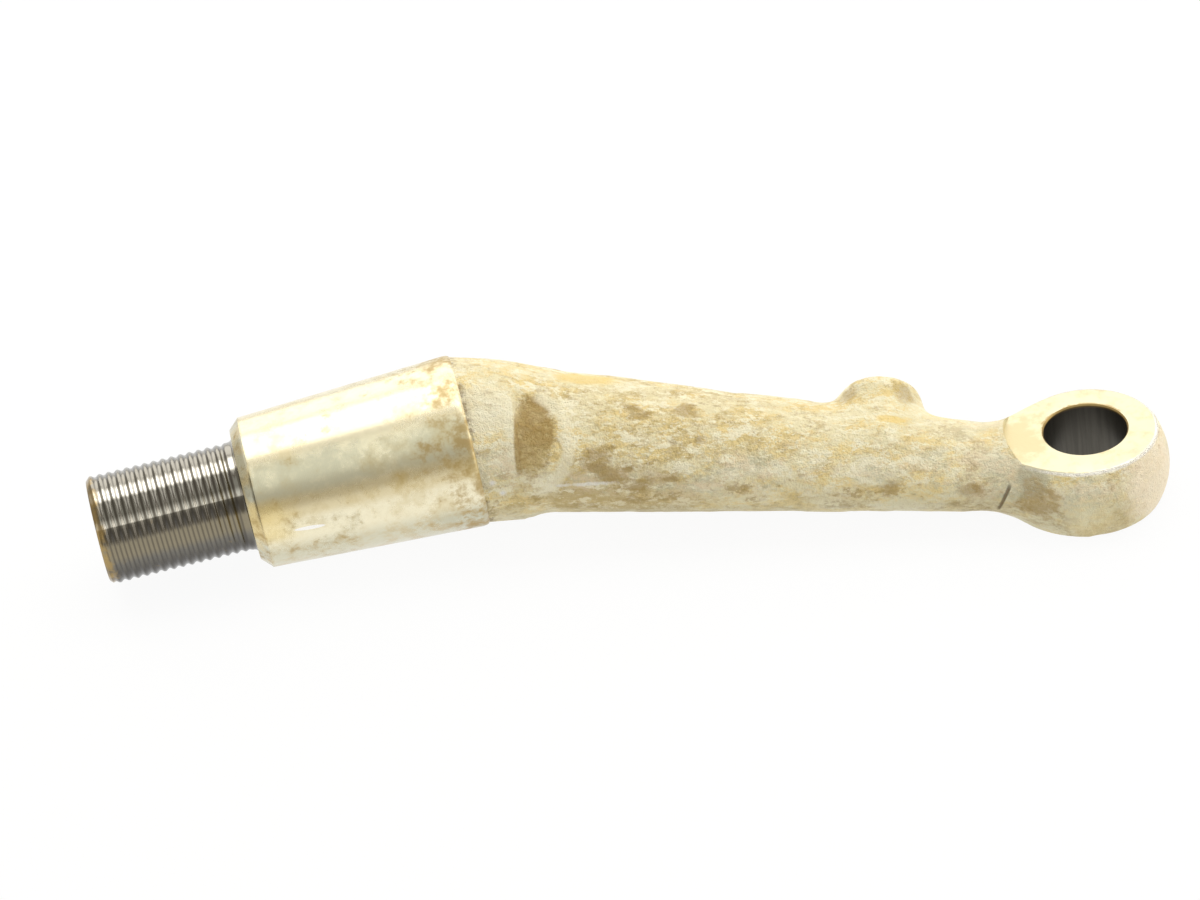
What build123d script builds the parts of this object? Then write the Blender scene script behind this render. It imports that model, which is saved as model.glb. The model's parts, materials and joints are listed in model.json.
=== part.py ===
"""Steering arm, forged in one piece and machined at both ends.

A threaded stud and a 1 in 10 taper shank fasten the arm to its knuckle. Past the taper the forging
bends into an oval beam that thins towards a ball-shaped eye, bored for the pin of the rod. A stop
boss stands on the back of the beam. The origin is the middle of the bore, +Z is the bore's axis,
and the arm reaches towards -X. The eye's lower face and the lowest line of the taper lie in one
level plane. All sizes are in millimetres and all angles in degrees.
"""

import os
from math import atan, cos, radians, sin, sqrt, tan

from build123d import *

# Eye: a forged ball, faced above and below and bored through
eye_ball_diameter = 35.0
ball_setover = 0.2
eye_thickness = 17.2
bore_diameter = 18.0
bore_chamfer = 0.3
upper_facing_diameter = 35.0
lower_facing_diameter = 60.0
neck_fillet = 9.0

# Beam: oval sections, wide across the bore's direction and lower along it, drafted towards the eye
root_distance = 105.0
root_width = 32.2
root_height = 28.0
beam_draft = 3.65
beam_setover = 4.1

# Bend: where the forging turns from the shank's axis to the beam's
arm_length = 134.0
shank_turn = 16.9
bend_run = 2.7
bend_sections = 3
bend_share = 0.67
bend_start_diameter = 35.9
bend_start_drop = 1.15

# Taper shank, which seats in the knuckle and is measured at its large end
taper_diameter = 38.2
taper_length = 50.0
taper_ratio = 0.1
shank_chamfer = 2.2
gauge_edge_run = 1.4
gauge_edge_drop = 0.7

# Stud: plain here, at the outside diameter of its thread
stud_diameter = 24.0
stud_length = 32.8
stud_chamfer = 0.9
stud_fillet = 1.6
shoulder_width = 2.4

# Stop boss on the back of the beam
boss_distance = 44.7
boss_diameter = 17.9
boss_height = 17.8
boss_rise = 20.0
boss_end_fillet = 3.6
boss_base_fillet = 3.2

# Dent left by the die on the near side of the bend, deepest at its end by the shank
dent_distance = 122.4
dent_length = 10.0
dent_depth = 1.1
dent_height = 13.6
dent_rise = 44.0

half_taper = atan(taper_ratio / 2)
shank_length = taper_length + stud_length

# Axes of the shank and of the beam
shank_out = Vector(
    -cos(radians(shank_turn)) * cos(half_taper),
    -sin(radians(shank_turn)) * cos(half_taper),
    -sin(half_taper),
)
gauge_point = Vector(-arm_length, 0, (taper_diameter * cos(half_taper) - eye_thickness) / 2)
bend_point = gauge_point - shank_out * bend_run
beam_end = Vector(0, -beam_setover, 0)
beam_out = (bend_point - beam_end).normalized()


def beam_point(distance):
    """Point of the beam's axis at a distance from the bore's axis along X."""
    return beam_end - beam_out * (distance / beam_out.X)


def beam_size(distance):
    """Width and height of the beam, which thins by its draft from the root to the eye."""
    thinned = 2 * tan(radians(beam_draft)) * (distance - root_distance) / beam_out.X
    return root_width - thinned, root_height - thinned


def oval_joint(width, height):
    """Point where the end arc of an oval meets its side arc, both running at 45 degrees there."""
    end_radius = (height - (sqrt(2) - 1) * width) / (4 - 2 * sqrt(2))
    return width / 2 - end_radius * (1 - 1 / sqrt(2)), end_radius / sqrt(2)


def section_plane(centre, facing):
    """Plane across the forging, its local X level and its normal along facing."""
    return Plane(origin=centre, x_dir=facing.cross(Vector(0, 0, 1)), z_dir=facing)


def shank_radius(run):
    """Radius of the taper at a run from its large end towards the stud."""
    return (taper_diameter - taper_ratio * run) / 2


with BuildPart() as steering_arm:
    # Bend: sections that turn from the shank's axis and grow into the oval of the beam
    for step in range(bend_sections + 1):
        share = step / bend_sections
        turned = min(share / bend_share, 1)
        distance = arm_length - share * (arm_length - root_distance)
        centre = beam_point(distance) if step else gauge_point - Vector(0, 0, bend_start_drop)
        width, height = [turned * size + (1 - turned) * bend_start_diameter for size in beam_size(distance)]
        joint_x, joint_y = oval_joint(width, height)
        with BuildSketch(section_plane(centre, -shank_out * (1 - turned) - beam_out * turned)) as section:
            with BuildLine() as half_oval:
                ThreePointArc((joint_x, -joint_y), (width / 2, 0), (joint_x, joint_y))
                ThreePointArc((joint_x, joint_y), (0, height / 2), (-joint_x, joint_y))
                add(half_oval.line, rotation=180)
            make_face()
    loft()

    # Beam, drafted from its root into the ball of the eye
    extrude(section.sketch, amount=root_distance - bore_diameter / 4, taper=beam_draft)

    # Stop boss, with a fillet at its foot and a rounded end
    boss_foot = beam_point(boss_distance)
    boss_out = Vector(0, cos(radians(boss_rise)), sin(radians(boss_rise)))
    with BuildSketch(Plane(boss_foot, x_dir=(1, 0, 0), z_dir=boss_out)):
        Circle(boss_diameter / 2)
    extrude(amount=boss_height)
    fillet(steering_arm.edges(Select.NEW), radius=boss_base_fillet)
    boss_end = steering_arm.faces().filter_by(Axis(boss_foot, boss_out))[0]
    fillet(boss_end.edges(), radius=boss_end_fillet)

    # Ball of the eye, blended into the neck
    with BuildSketch(Plane.XZ.offset(ball_setover)):
        Circle(eye_ball_diameter / 2)
        with Locations((-eye_ball_diameter / 2, 0)):
            Rectangle(eye_ball_diameter, eye_ball_diameter, mode=Mode.SUBTRACT)
    revolve(axis=Axis((0, -ball_setover, 0), (0, 0, 1)))
    fillet(steering_arm.edges(Select.NEW), radius=neck_fillet)

    # Dent: a wedge cut across the near side of the bend
    dent_out = Vector(0, -cos(radians(dent_rise)), sin(radians(dent_rise)))
    dent_along = -beam_out
    dent_across = dent_along.cross(dent_out)
    dent_reach = beam_size(dent_distance)[1] / 2
    with BuildSketch(Plane(beam_point(dent_distance), x_dir=dent_along, z_dir=dent_across)):
        with BuildLine():
            Polyline(
                (0, dent_reach - dent_depth),
                (dent_length, dent_reach),
                (dent_length, 2 * dent_reach),
                (0, 2 * dent_reach),
                close=True,
            )
        make_face()
    extrude(amount=dent_height / 2, both=True, mode=Mode.SUBTRACT)

    # Taper shank and stud, turned about the shank's axis
    with BuildSketch(Plane(gauge_point, x_dir=shank_out, z_dir=shank_out.cross(Vector(0, 0, 1)))) as turning:
        with BuildLine():
            Polyline(
                (0, 0),
                (0, shank_radius(gauge_edge_run) - gauge_edge_drop),
                (gauge_edge_run, shank_radius(gauge_edge_run)),
                (taper_length - shank_chamfer, shank_radius(taper_length - shank_chamfer)),
                (taper_length, stud_diameter / 2 + shoulder_width),
                (taper_length, stud_diameter / 2),
                (shank_length - stud_chamfer, stud_diameter / 2),
                (shank_length, stud_diameter / 2 - stud_chamfer),
                (shank_length, 0),
                close=True,
            )
        make_face()
        stud_corner = turning.vertices().sort_by_distance((taper_length, stud_diameter / 2))[0]
        fillet(stud_corner, radius=stud_fillet)
    revolve(axis=Axis(gauge_point, shank_out))

    # Faces of the eye, where the cutter ran out of the ball and into the neck
    with BuildSketch(Plane.XY.offset(eye_thickness / 2)):
        Circle(upper_facing_diameter / 2)
    extrude(amount=eye_ball_diameter, mode=Mode.SUBTRACT)
    with BuildSketch(Plane.XY.offset(-eye_thickness / 2)):
        Circle(lower_facing_diameter / 2)
    extrude(amount=-eye_ball_diameter, mode=Mode.SUBTRACT)

    # Bore of the eye, with both mouths chamfered
    with BuildSketch(Plane.XZ):
        with BuildLine():
            Polyline(
                (0, -eye_thickness / 2),
                (bore_diameter / 2 + bore_chamfer, -eye_thickness / 2),
                (bore_diameter / 2, bore_chamfer - eye_thickness / 2),
                (bore_diameter / 2, eye_thickness / 2 - bore_chamfer),
                (bore_diameter / 2 + bore_chamfer, eye_thickness / 2),
                (0, eye_thickness / 2),
                close=True,
            )
        make_face()
    revolve(axis=Axis.Z, mode=Mode.SUBTRACT)

steering_arm.part.label = "steering_arm"
os.makedirs("parts", exist_ok=True)
export_step(steering_arm.part, "parts/steering_arm.step")
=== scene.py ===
"""Steering arm: the forged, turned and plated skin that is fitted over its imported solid."""

import json
import math
from typing import NamedTuple

import bmesh
import bpy
import numpy as np
from bpy.props import FloatProperty, FloatVectorProperty, IntProperty, PointerProperty
from bpy.types import Operator, Panel, PropertyGroup
from mathutils import Matrix, Vector


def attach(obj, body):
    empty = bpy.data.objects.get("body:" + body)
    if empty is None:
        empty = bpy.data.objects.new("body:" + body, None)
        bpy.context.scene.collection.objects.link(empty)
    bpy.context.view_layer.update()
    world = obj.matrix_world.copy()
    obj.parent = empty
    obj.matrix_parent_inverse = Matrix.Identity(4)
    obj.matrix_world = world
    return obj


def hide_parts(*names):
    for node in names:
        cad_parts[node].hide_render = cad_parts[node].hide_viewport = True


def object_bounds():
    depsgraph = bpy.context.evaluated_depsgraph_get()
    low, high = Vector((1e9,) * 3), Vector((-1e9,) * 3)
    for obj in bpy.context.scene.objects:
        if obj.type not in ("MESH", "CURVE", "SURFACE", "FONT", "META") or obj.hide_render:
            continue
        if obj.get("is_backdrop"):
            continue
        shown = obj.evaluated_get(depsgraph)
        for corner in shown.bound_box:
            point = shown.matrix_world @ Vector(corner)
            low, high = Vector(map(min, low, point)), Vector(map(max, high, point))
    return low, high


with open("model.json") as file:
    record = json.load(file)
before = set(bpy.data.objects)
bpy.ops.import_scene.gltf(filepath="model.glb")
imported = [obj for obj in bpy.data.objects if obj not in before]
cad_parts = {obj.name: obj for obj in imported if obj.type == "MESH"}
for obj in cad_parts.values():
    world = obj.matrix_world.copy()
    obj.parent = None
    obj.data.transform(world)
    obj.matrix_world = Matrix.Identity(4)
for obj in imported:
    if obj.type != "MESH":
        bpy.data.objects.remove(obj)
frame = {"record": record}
cad_low, cad_high = (np.array(corner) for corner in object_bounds())
mounts = {mount["name"]: mount for mount in frame["record"]["mounts"]}

bl_info = {
    "name": "Steering arm",
    "version": (1, 0, 0),
    "blender": (4, 5, 0),
    "location": "3D View > Sidebar > Steering arm",
    "description": "Builds the arm's skin, its plating and the stage round its packed solid",
    "category": "Add Mesh",
}

MM = 0.001
NODE = "steering_arm"
PHOTO_WIDTH, PHOTO_HEIGHT = 1200, 900
SENSOR_WIDTH = 36.0
FULL_TURN = 2 * math.pi
RIGHT_ANGLE = math.pi / 2
ORIGIN = (0.0, 0.0, 0.0)
X_AXIS, Y_AXIS, Z_AXIS = (1.0, 0.0, 0.0), (0.0, 1.0, 0.0), (0.0, 0.0, 1.0)

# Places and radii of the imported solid, in metres
shank_out = np.array(mounts["shank_taper"]["axis"])
gauge_point = np.array(mounts["shank_taper"]["pos_m"])
eye_half = mounts["eye_upper_face"]["pos_m"][2]
bore_radius = mounts["eye_bore"]["dims"]["r_mm"] * MM
stud_radius = mounts["stud_thread"]["dims"]["r_mm"] * MM

# How fast the taper's radius falls along its length: half of 1 in 10
TAPER_SLOPE = 0.05

# Rows and samples of the skin's surfaces
THREAD_START = 0.6
THREAD_SAMPLES = 10
FILLET_ROWS = 7
TAPER_ROWS = 60
CAP_ROWS = 80
FACING_COLUMNS, BORE_COLUMNS = 240, 160

# Degrees past which an edge between two faces is sharp
SHARP_ANGLE = 32

# The eye's rim is finished as its face is: how deep it goes, and where it starts towards the neck
RIM_DEPTH, RIM_START = 0.35 * MM, -13.0 * MM

# Spread of the flash line in radians, and where it fades in and out, from the bore's axis
FLASH_SPREAD = 0.035
FLASH_STARTS, FLASH_ENDS = (60 * MM, 72 * MM), (112 * MM, 122 * MM)

# Stretches of the forging's rows: start, end and step in millimetres from the bore's axis
ROW_STRETCHES = (
    (126.0, 58.0, 0.75),
    (58.0, 31.0, 0.42),
    (31.0, 22.0, 0.6),
    (22.0, 6.0, 0.4),
    (6.0, 0.0, 0.5),
)

# Rows over the rounded gauge edge: run along the shank and drop below the taper's radius, in millimetres
EDGE_ROWS = ((1.0, 0.1), (0.5, 0.16), (0.1, 0.34), (-0.15, 0.6))


class Mark(NamedTuple):
    """A spot on the arm: its middle and reach in millimetres, and how far it stretches along each axis."""

    x: float
    y: float
    z: float
    reach: float
    stretch: tuple = (1.0, 1.0, 1.0)


def marks_of(stretch, *places):
    """Marks of one stretch at places that each give x, y, z and reach."""
    return tuple(Mark(*place, stretch) for place in places)


# Pits that scale left, stains and beads along the near side of the beam
SCALE_PITS = marks_of(
    (1.5, 1.0, 0.8),
    (-94.2, -15.9, 9.4, 2.6),
    (-87.7, -15.5, 9.6, 1.5),
    (-81.0, -10.4, 16.2, 1.7),
    (-103.6, -15.2, 13.0, 1.1),
    (-96.7, -15.0, 12.4, 0.9),
    (-87.4, -11.2, 16.6, 1.0),
)
STAINS = marks_of(
    (1.5, 1.2, 0.9),
    (-103.2, -14.0, 15.0, 6.5),
    (-101.0, -15.8, 10.5, 4.0),
    (-95.6, -5.4, 20.5, 4.5),
    (-85.0, -3.4, 19.5, 5.5),
    (-96.2, -15.7, 4.9, 5.0),
    (-41.5, -14.5, 4.5, 5.5),
    (-25.1, -13.9, 3.7, 4.5),
)
BEADS = (Mark(-126.4, -17.1, 11.5, 1.0), Mark(-124.5, -17.0, 8.4, 1.0))

# Places on the bend, the boss, the eye's side, the taper and the eye's upper face that have their own colour;
# the dent's ridge and lip, the flash line and the streak on the taper take a painted highlight, and the mark
# on the eye's face a painted shadow
DENT_EDGE = (-121.0, 0.0, 0.0)
DENT_SOIL = Mark(-118.0, -11.0, 18.5, 18.0, (0.62, 1.0, 1.0))
DENT_LIP = Mark(-122.0, -9.5, 19.5, 10.0, (0.16, 1.0, 1.0))
DENT_RIDGE = Mark(-120.0, -11.5, 17.3, 10.8)
COLLAR_SIDE = Mark(-130.0, -15.5, 13.0, 9.0)
COLLAR_TOP = Mark(-128.5, -8.5, 24.0, 14.0, (1.0, 1.0, 0.7))
BEND_CROWN = Mark(-107.5, 5.0, 22.4, 11.0, (1.2, 0.5, 1.0))
FLASH_LINE = Mark(-106.0, -16.4, 9.7, 14.0, (1.0, 0.3, 0.07))
BOSS_VALLEY = Mark(-41.5, -2.0, 13.3, 7.0, (1.0, 0.3, 0.6))
BOSS_FLANKS = (Mark(-51.0, 6.5, 14.0, 6.0), Mark(-38.5, 7.0, 14.6, 6.0))
NECK_FOLD = (-17.2, -13.0, 1.2)
BALL_BLUSH = Mark(15.0, -8.0, 1.0, 17.0)
BALL_GOLD = Mark(1.0, -17.0, -2.0, 10.0)
BALL_OLIVE = Mark(-10.0, -13.5, 6.0, 8.0)
BALL_BROWN = Mark(-9.5, -14.5, 2.5, 10.0)
BALL_LOW = Mark(6.0, -16.0, -7.0, 15.0)
BALL_FRONT = Mark(4.0, -12.0, -3.0, 24.0)
TAPER_HIGHLIGHT_STREAK = Mark(-165.3, -27.5, 8.4, 6.0, (0.9, 1.0, 0.13))
FACE_NECK = Mark(-14.0, -2.0, 8.6, 9.0, (1.0, 1.3, 1.0))
FACE_MIDDLE = Mark(0.0, 2.0, 8.6, 13.5, (1.0, 0.82, 1.0))
FACE_SHADOW = Mark(12.0, -9.5, 8.6, 4.0)

# Directions of the beam's climb and of the fold in the neck, and how noises stretch along the beam
ABOVE_BEAM = (0.078, 0.0, 1.0)
FOLD_OUT, FOLD_ALONG = (0.91, 0.0, -0.42), (0.42, 0.0, 0.91)
ALONG_BEAM = (0.55, 1.0, 1.1)

# Height of the eye's upper face above the origin, in millimetres
FACE_TOP = eye_half / MM


# Sizes and colours that a user would change


def length(name, description, millimetres):
    """A length property whose default is given in millimetres."""
    default = millimetres * MM
    return FloatProperty(name=name, description=description, default=default, unit="LENGTH", precision=5)


def angle(name, description, degrees):
    """An angle property whose default is given in degrees."""
    return FloatProperty(name=name, description=description, default=math.radians(degrees), subtype="ANGLE")


def brightness(name, description, strength):
    """A lamp's brightness, where 1 lights a white surface in front of it white."""
    return FloatProperty(name=name, description=description, default=strength, min=0.0)


def colour(name, description, red, green, blue):
    """A linear colour property."""
    default = (red, green, blue)
    return FloatVectorProperty(
        name=name, description=description, default=default, subtype="COLOR", min=0.0, max=1.0
    )


class ArmSizes(PropertyGroup):
    """Sizes of the arm's skin"""

    columns: IntProperty(name="Columns", description="Points round every section", default=160)
    ball_radius: length("Ball radius", "Radius of the eye's forged ball", 17.5)
    ball_setover: length("Ball setover", "How far the ball sits to the near side of the bore", 0.2)
    bore_chamfer: length("Bore chamfer", "Chamfer at both mouths of the bore", 0.3)
    rim_round: length("Rim rounding", "Rounding between the ball and its faces", 1.1)
    upper_cut: length("Upper facing", "Radius that the cutter faced above the eye", 17.5)
    lower_cut: length("Lower facing", "Radius that the cutter faced below the eye", 30.0)
    root_at: length("Root distance", "Distance of the beam's root from the bore's axis", 105.0)
    root_width: length("Root width", "Width of the oval at the root", 32.2)
    root_height: length("Root height", "Height of the oval at the root", 28.0)
    draft: angle("Draft", "Angle at which the beam thins towards the eye", 3.65)
    beam_setover: length("Setover", "How far the beam's axis passes to the near side of the bore", 4.1)
    beam_end: length("Beam end", "Where the beam ends inside the ball", 5.0)
    bend_run: length("Bend run", "Run from the gauge point to where both axes meet", 2.7)
    collar_radius: length("Collar radius", "Radius of the forging where it leaves the taper", 17.95)
    collar_drop: length("Collar drop", "How far the forging sits below the shank's axis there", 1.15)
    turn_run: length("Turn length", "Distance over which the forging turns to the beam's axis", 19.4)
    neck_blend: length("Neck blend", "Reach of the blend between beam and ball", 8.0)
    boss_at: length("Boss distance", "Distance of the stop boss from the bore's axis", 44.7)
    boss_rise: angle("Boss rise", "Angle at which the boss rises from level", 20.0)
    boss_radius: length("Boss radius", "Radius of the stop boss", 8.95)
    boss_height: length("Boss height", "Height of the boss above the beam's axis", 17.8)
    boss_round: length("Boss rounding", "Rounding of the boss's end", 3.6)
    boss_blend: length("Boss blend", "Reach of the blend at the boss's foot", 5.0)
    taper_radius: length("Taper radius", "Radius of the taper at its large end", 19.1)
    taper_length: length("Taper length", "Length of the taper", 50.0)
    edge_run: length("Gauge edge", "Run at which the taper starts past its gauge edge", 1.4)
    stud_length: length("Stud length", "Length of the threaded stud", 32.8)
    shank_chamfer: length("Shank chamfer", "Chamfer at the taper's small end", 2.2)
    stud_chamfer: length("Stud chamfer", "Chamfer at the stud's end", 0.9)
    stud_fillet: length("Stud fillet", "Fillet between stud and shoulder", 1.0)
    pitch: length("Pitch", "Pitch of the stud's thread", 2.0)
    thread_depth: length("Thread depth", "Depth of the thread", 0.5)


class ArmMarks(PropertyGroup):
    """Sizes of what the die, the scale and the trimming left on the forging"""

    lump_depth: length("Lump depth", "Depth of the skin's broad lumps", 0.22)
    lump_size: length("Lump size", "Size of the broad lumps", 11.0)
    grain_depth: length("Grain depth", "Depth of the skin's grain", 0.08)
    grain_size: length("Grain size", "Size of the grain", 2.4)
    scale_depth: length("Scale depth", "Depth where scale broke off", 0.26)
    scale_size: length("Scale size", "Size of a flake of scale", 2.2)
    scale_patch: length("Scale patch", "Size of the patches in which scale broke off", 16.0)
    pit_depth: length("Pit depth", "Depth of the scale's larger pits", 0.35)
    bead_height: length("Bead height", "Height of the beads by the bend", 0.5)
    flash_height: length("Flash height", "Height of the flash line", 0.28)
    flash_turn: angle("Flash turn", "Turn of the flash line from the beam's near side", -24.0)
    dent_at: length("Dent distance", "Distance of the dent's deep end from the bore's axis", 122.6)
    dent_turn: angle("Dent turn", "Turn of the dent from the beam's near side", 46.0)
    dent_radius: length("Dent radius", "Radius at which the dent's width is measured", 14.0)
    dent_depth: length("Dent depth", "Depth of the dent", 1.1)
    ridge_at: length("Ridge distance", "Distance of the ridge past the dent's deep end", 11.5)
    ridge_height: length("Ridge height", "Height of the ridge past the dent", 0.45)


class ArmFinish(PropertyGroup):
    """Colours of the arm's finishes and of its painted highlights and shade"""

    plating: colour("Plating", "Bright yellow zinc plating", 0.90, 0.82, 0.55)
    tan: colour("Tan plating", "Plating gone tan on the forged skin", 0.62, 0.49, 0.23)
    # Also the grey of painted shade and painted reflection bands on the beam and the taper
    shade: colour("Dull plating", "Greenish grey of thin plating", 0.52, 0.52, 0.40)
    gold: colour("Gold", "Thick golden plating", 0.90, 0.70, 0.27)
    chalk: colour("Chalky plating", "Pale chalky flecks on the forged skin", 0.98, 0.93, 0.72)
    # The white of the painted highlights on the eye's rim and face edge, the flash line, the beads and the
    # taper's streak; a fifth of it also pales the taper's plating
    bright: colour("Rubbed plating", "Plating rubbed bright on the eye's rim", 0.97, 0.95, 0.90)
    blush: colour("Blush", "Pinkish plating on the far side of the eye", 0.99, 0.87, 0.68)
    ochre: colour("Ochre", "Yellow brown stain", 0.45, 0.31, 0.11)
    rust: colour("Rust", "Brown rust in the creases", 0.17, 0.10, 0.04)
    # Black of the painted shade on the thread's bands and flanks, and of the dark lines in the bore
    grime_and_shade: colour("Grime", "Black oil in the grooves", 0.05, 0.045, 0.04)
    facing: colour("Faced plating", "Plating on the eye's cut faces", 0.81, 0.76, 0.54)
    # The white of the painted highlight along the thread's top and of its thin painted highlight line
    steel: colour("Steel", "Bare steel along the top of the thread", 0.95, 0.92, 0.84)
    # The dark of the painted shade on the thread's side
    oil: colour("Oil", "Oiled dark steel on the thread's sides", 0.19, 0.18, 0.155)
    # Dark of the bore: partly its steel, partly painted shade inside the hole
    bore: colour("Bore", "Dark reamed steel of the bore", 0.12, 0.112, 0.094)


class ArmStage(PropertyGroup):
    """Camera and lights"""

    focal: FloatProperty(name="Focal length", description="Focal length in pixels", default=5454.0)
    elevation: angle("Elevation", "Camera's height angle", 35.75)
    azimuth: angle("Azimuth", "Camera's turn about the vertical", -11.55)
    roll: angle("Roll", "Camera's turn about its own axis", -8.42)
    distance: length("Distance", "Distance to the eye along the view", 1171.9)
    eye_x: FloatProperty(name="Eye across", description="Pixel column of the bore's middle", default=1087.85)
    eye_y: FloatProperty(name="Eye down", description="Pixel row of the bore's middle", default=461.44)
    overhead: brightness("Overhead", "Brightness of the panel above", 1.6)
    behind: brightness("Behind", "Brightness of the panel behind the arm", 1.15)
    front: brightness("Front", "Brightness of the panel above the camera", 0.5)
    side: brightness("Side", "Brightness of the panel past the eye", 1.7)
    around: brightness("Around", "Brightness of everything else round the arm", 0.52)


# Shapes, as whole arrays


def smooth_step(low, high, value):
    """0 below low, 1 above high and an even S curve between them: 3 share² less 2 share³."""
    share = np.clip((value - low) / (high - low), 0, 1)
    return share * share * (3 - 2 * share)


def soft_min(first, second, reach):
    """The lesser of two distances, rounded by a parabola where they differ by less than reach."""
    share = np.clip(0.5 + 0.5 * (second - first) / reach, 0, 1)
    return second + (first - second) * share - reach * share * (1 - share)


def lattice_noise(points, cell, seed):
    """Random values from -1 to 1 on a cubic lattice of the given cell, joined by S curves."""
    table = np.random.default_rng(seed).uniform(-1, 1, 4096)
    scaled = points / cell
    whole = np.floor(scaled).astype(np.int64)
    part = scaled - whole
    part = part * part * (3 - 2 * part)
    total = np.zeros(points.shape[:-1])
    for corner in np.ndindex(2, 2, 2):
        weight = np.prod(np.where(corner, part, 1 - part), axis=-1)
        x, y, z = np.moveaxis(whole + corner, -1, 0)
        total += weight * table[(x * 73856093 ^ y * 19349663 ^ z * 83492791) & 4095]
    return total


def layered_noise(points, cell, seed, layers=2):
    """Lattice noise summed over layers, each with half the cell and half the strength of the last."""
    return sum(lattice_noise(points, cell / 2**layer, seed + layer) / 2**layer for layer in range(layers))


def unit(vectors):
    """Vectors divided by their lengths."""
    return vectors / np.linalg.norm(vectors, axis=-1, keepdims=True)


def round_frame(facing):
    """Level and rising directions across a facing direction: facing times Z, and level times facing."""
    level = unit(np.cross(facing, Z_AXIS))
    return level, np.cross(level, facing)


def turns_of(columns):
    """Angles of the columns round a section, from the near side and over the top."""
    return np.arange(columns) * FULL_TURN / columns


def around(centres, level, rising, radii, turns):
    """Points at radii and angles round their centres: centre + radius (cos level + sin rising)."""
    across = np.cos(turns)[..., None] * level + np.sin(turns)[..., None] * rising
    return centres + radii[..., None] * across


def around_shank(run, radii, turns):
    """Points round the shank's axis at runs from the gauge point, radii and angles."""
    level, rising = round_frame(-shank_out)
    return around(gauge_point + run[..., None] * shank_out, level, rising, radii, turns)


def thread_radius(sizes, run, turns):
    """Radius of the stud: a helix of rounded grooves, 0.5 + 0.5 cos of the turn along the pitch, that fade
    at the shoulder and stop at the chamfer."""
    phase = run / sizes.pitch - turns / FULL_TURN
    groove = 0.5 + 0.5 * np.cos(FULL_TURN * phase)
    fade = smooth_step(0.5, 1.3, (run - sizes.taper_length) / sizes.pitch)
    radius = stud_radius - sizes.thread_depth * groove * fade
    end = sizes.taper_length + sizes.stud_length
    return np.minimum(radius, stud_radius - sizes.stud_chamfer + (end - run))


def helix_strip(sizes, low, high, samples):
    """Vertices and quads of the thread: samples over one pitch, carried along the helix at pitch times turn
    and clamped to the runs low and high."""
    columns = sizes.columns
    turns = math.ceil((high - low) / sizes.pitch) + 2
    step = np.arange(turns * columns)[:, None]
    run = low - sizes.pitch + sizes.pitch * (step / columns + np.arange(samples) / samples)
    run = np.clip(run, low, high)
    turned = np.broadcast_to(step % columns * FULL_TURN / columns, run.shape)
    points = around_shank(run, thread_radius(sizes, run, turned), turned)
    index = np.arange(run.size).reshape(run.shape)
    upper = np.concatenate([index[:, 1:], np.roll(index[:, :1], -columns, axis=0)], axis=1)
    quads = np.stack([index[:-1], index[1:], upper[1:], upper[:-1]], axis=-1)
    quads = quads.reshape(-1, samples, 4)
    inner = quads[:, : samples - 1].reshape(-1, 4)
    seam = quads[:-columns, samples - 1]
    return points.reshape(-1, 3), np.concatenate([inner, seam])


def tube_quads(rows, columns):
    """Quads of a tube of rows and columns, closed round its section."""
    index = np.arange(rows * columns).reshape(rows, columns)
    across = np.roll(index, -1, axis=1)
    return np.stack([index[:-1], across[:-1], across[1:], index[1:]], axis=-1).reshape(-1, 4)


def joined(surfaces):
    """Vertices and quads of several surfaces as one: each one's quads count on from the last."""
    starts = np.cumsum([0] + [len(points) for points, _ in surfaces[:-1]])
    quads = np.concatenate([quads + start for (_, quads), start in zip(surfaces, starts)])
    return np.concatenate([points for points, _ in surfaces]), quads


def end_rows(sizes, high):
    """Rows of the stud's end face: shares of the thread's last ring, from its middle outwards."""
    turns = turns_of(sizes.columns)
    share = np.array([0.0, 0.35, 0.7, 0.93, 1.0])[:, None]
    radii = share * thread_radius(sizes, np.full(1, high), turns)
    return around_shank(np.full(1, high), radii, turns)


def shank_rows(sizes, low):
    """Rows from the thread's start to the gauge edge. Along the run, the radius follows the thread, a quarter
    circle for the fillet, the chamfer at 45 degrees, the taper and the rounded gauge edge."""
    turns = turns_of(sizes.columns)
    start = np.linspace(low, sizes.taper_length + sizes.stud_fillet, 4)[:-1, None]
    arc = np.linspace(0, RIGHT_ANGLE, FILLET_ROWS)
    fillet_run = sizes.taper_length + sizes.stud_fillet * (1 - np.sin(arc))
    fillet_radius = stud_radius + sizes.stud_fillet * (1 - np.cos(arc))
    share = np.array([0.0, 0.02, 0.35, 0.7, 0.98])
    small = sizes.taper_radius - TAPER_SLOPE * sizes.taper_length
    chamfer_run = sizes.taper_length - sizes.shank_chamfer * share
    chamfer_radius = small - sizes.shank_chamfer * (1 - share)
    taper_run = np.linspace(sizes.taper_length - sizes.shank_chamfer, sizes.edge_run, TAPER_ROWS)
    taper_radius = sizes.taper_radius - TAPER_SLOPE * taper_run
    edge_run, edge_drop = np.array(EDGE_ROWS).T * MM
    run = np.concatenate([fillet_run, chamfer_run, taper_run, edge_run])[:, None]
    radius = np.concatenate([fillet_radius, chamfer_radius, taper_radius, sizes.taper_radius - edge_drop])
    radii = np.concatenate([thread_radius(sizes, start, turns), radius[:, None] + 0 * turns])
    return around_shank(np.concatenate([start, run]), radii, turns)


def beam_axis(sizes):
    """End point of the beam's axis at the eye, and its direction from the bend towards the eye."""
    bend = gauge_point - shank_out * sizes.bend_run
    end = np.array((0.0, -sizes.beam_setover, 0.0))
    return end, unit(end - bend)


def beam_point(sizes, distance):
    """Points of the beam's axis at distances from the bore's axis along X."""
    end, facing = beam_axis(sizes)
    return end - facing * (np.asarray(distance) / facing[0])[..., None]


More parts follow.
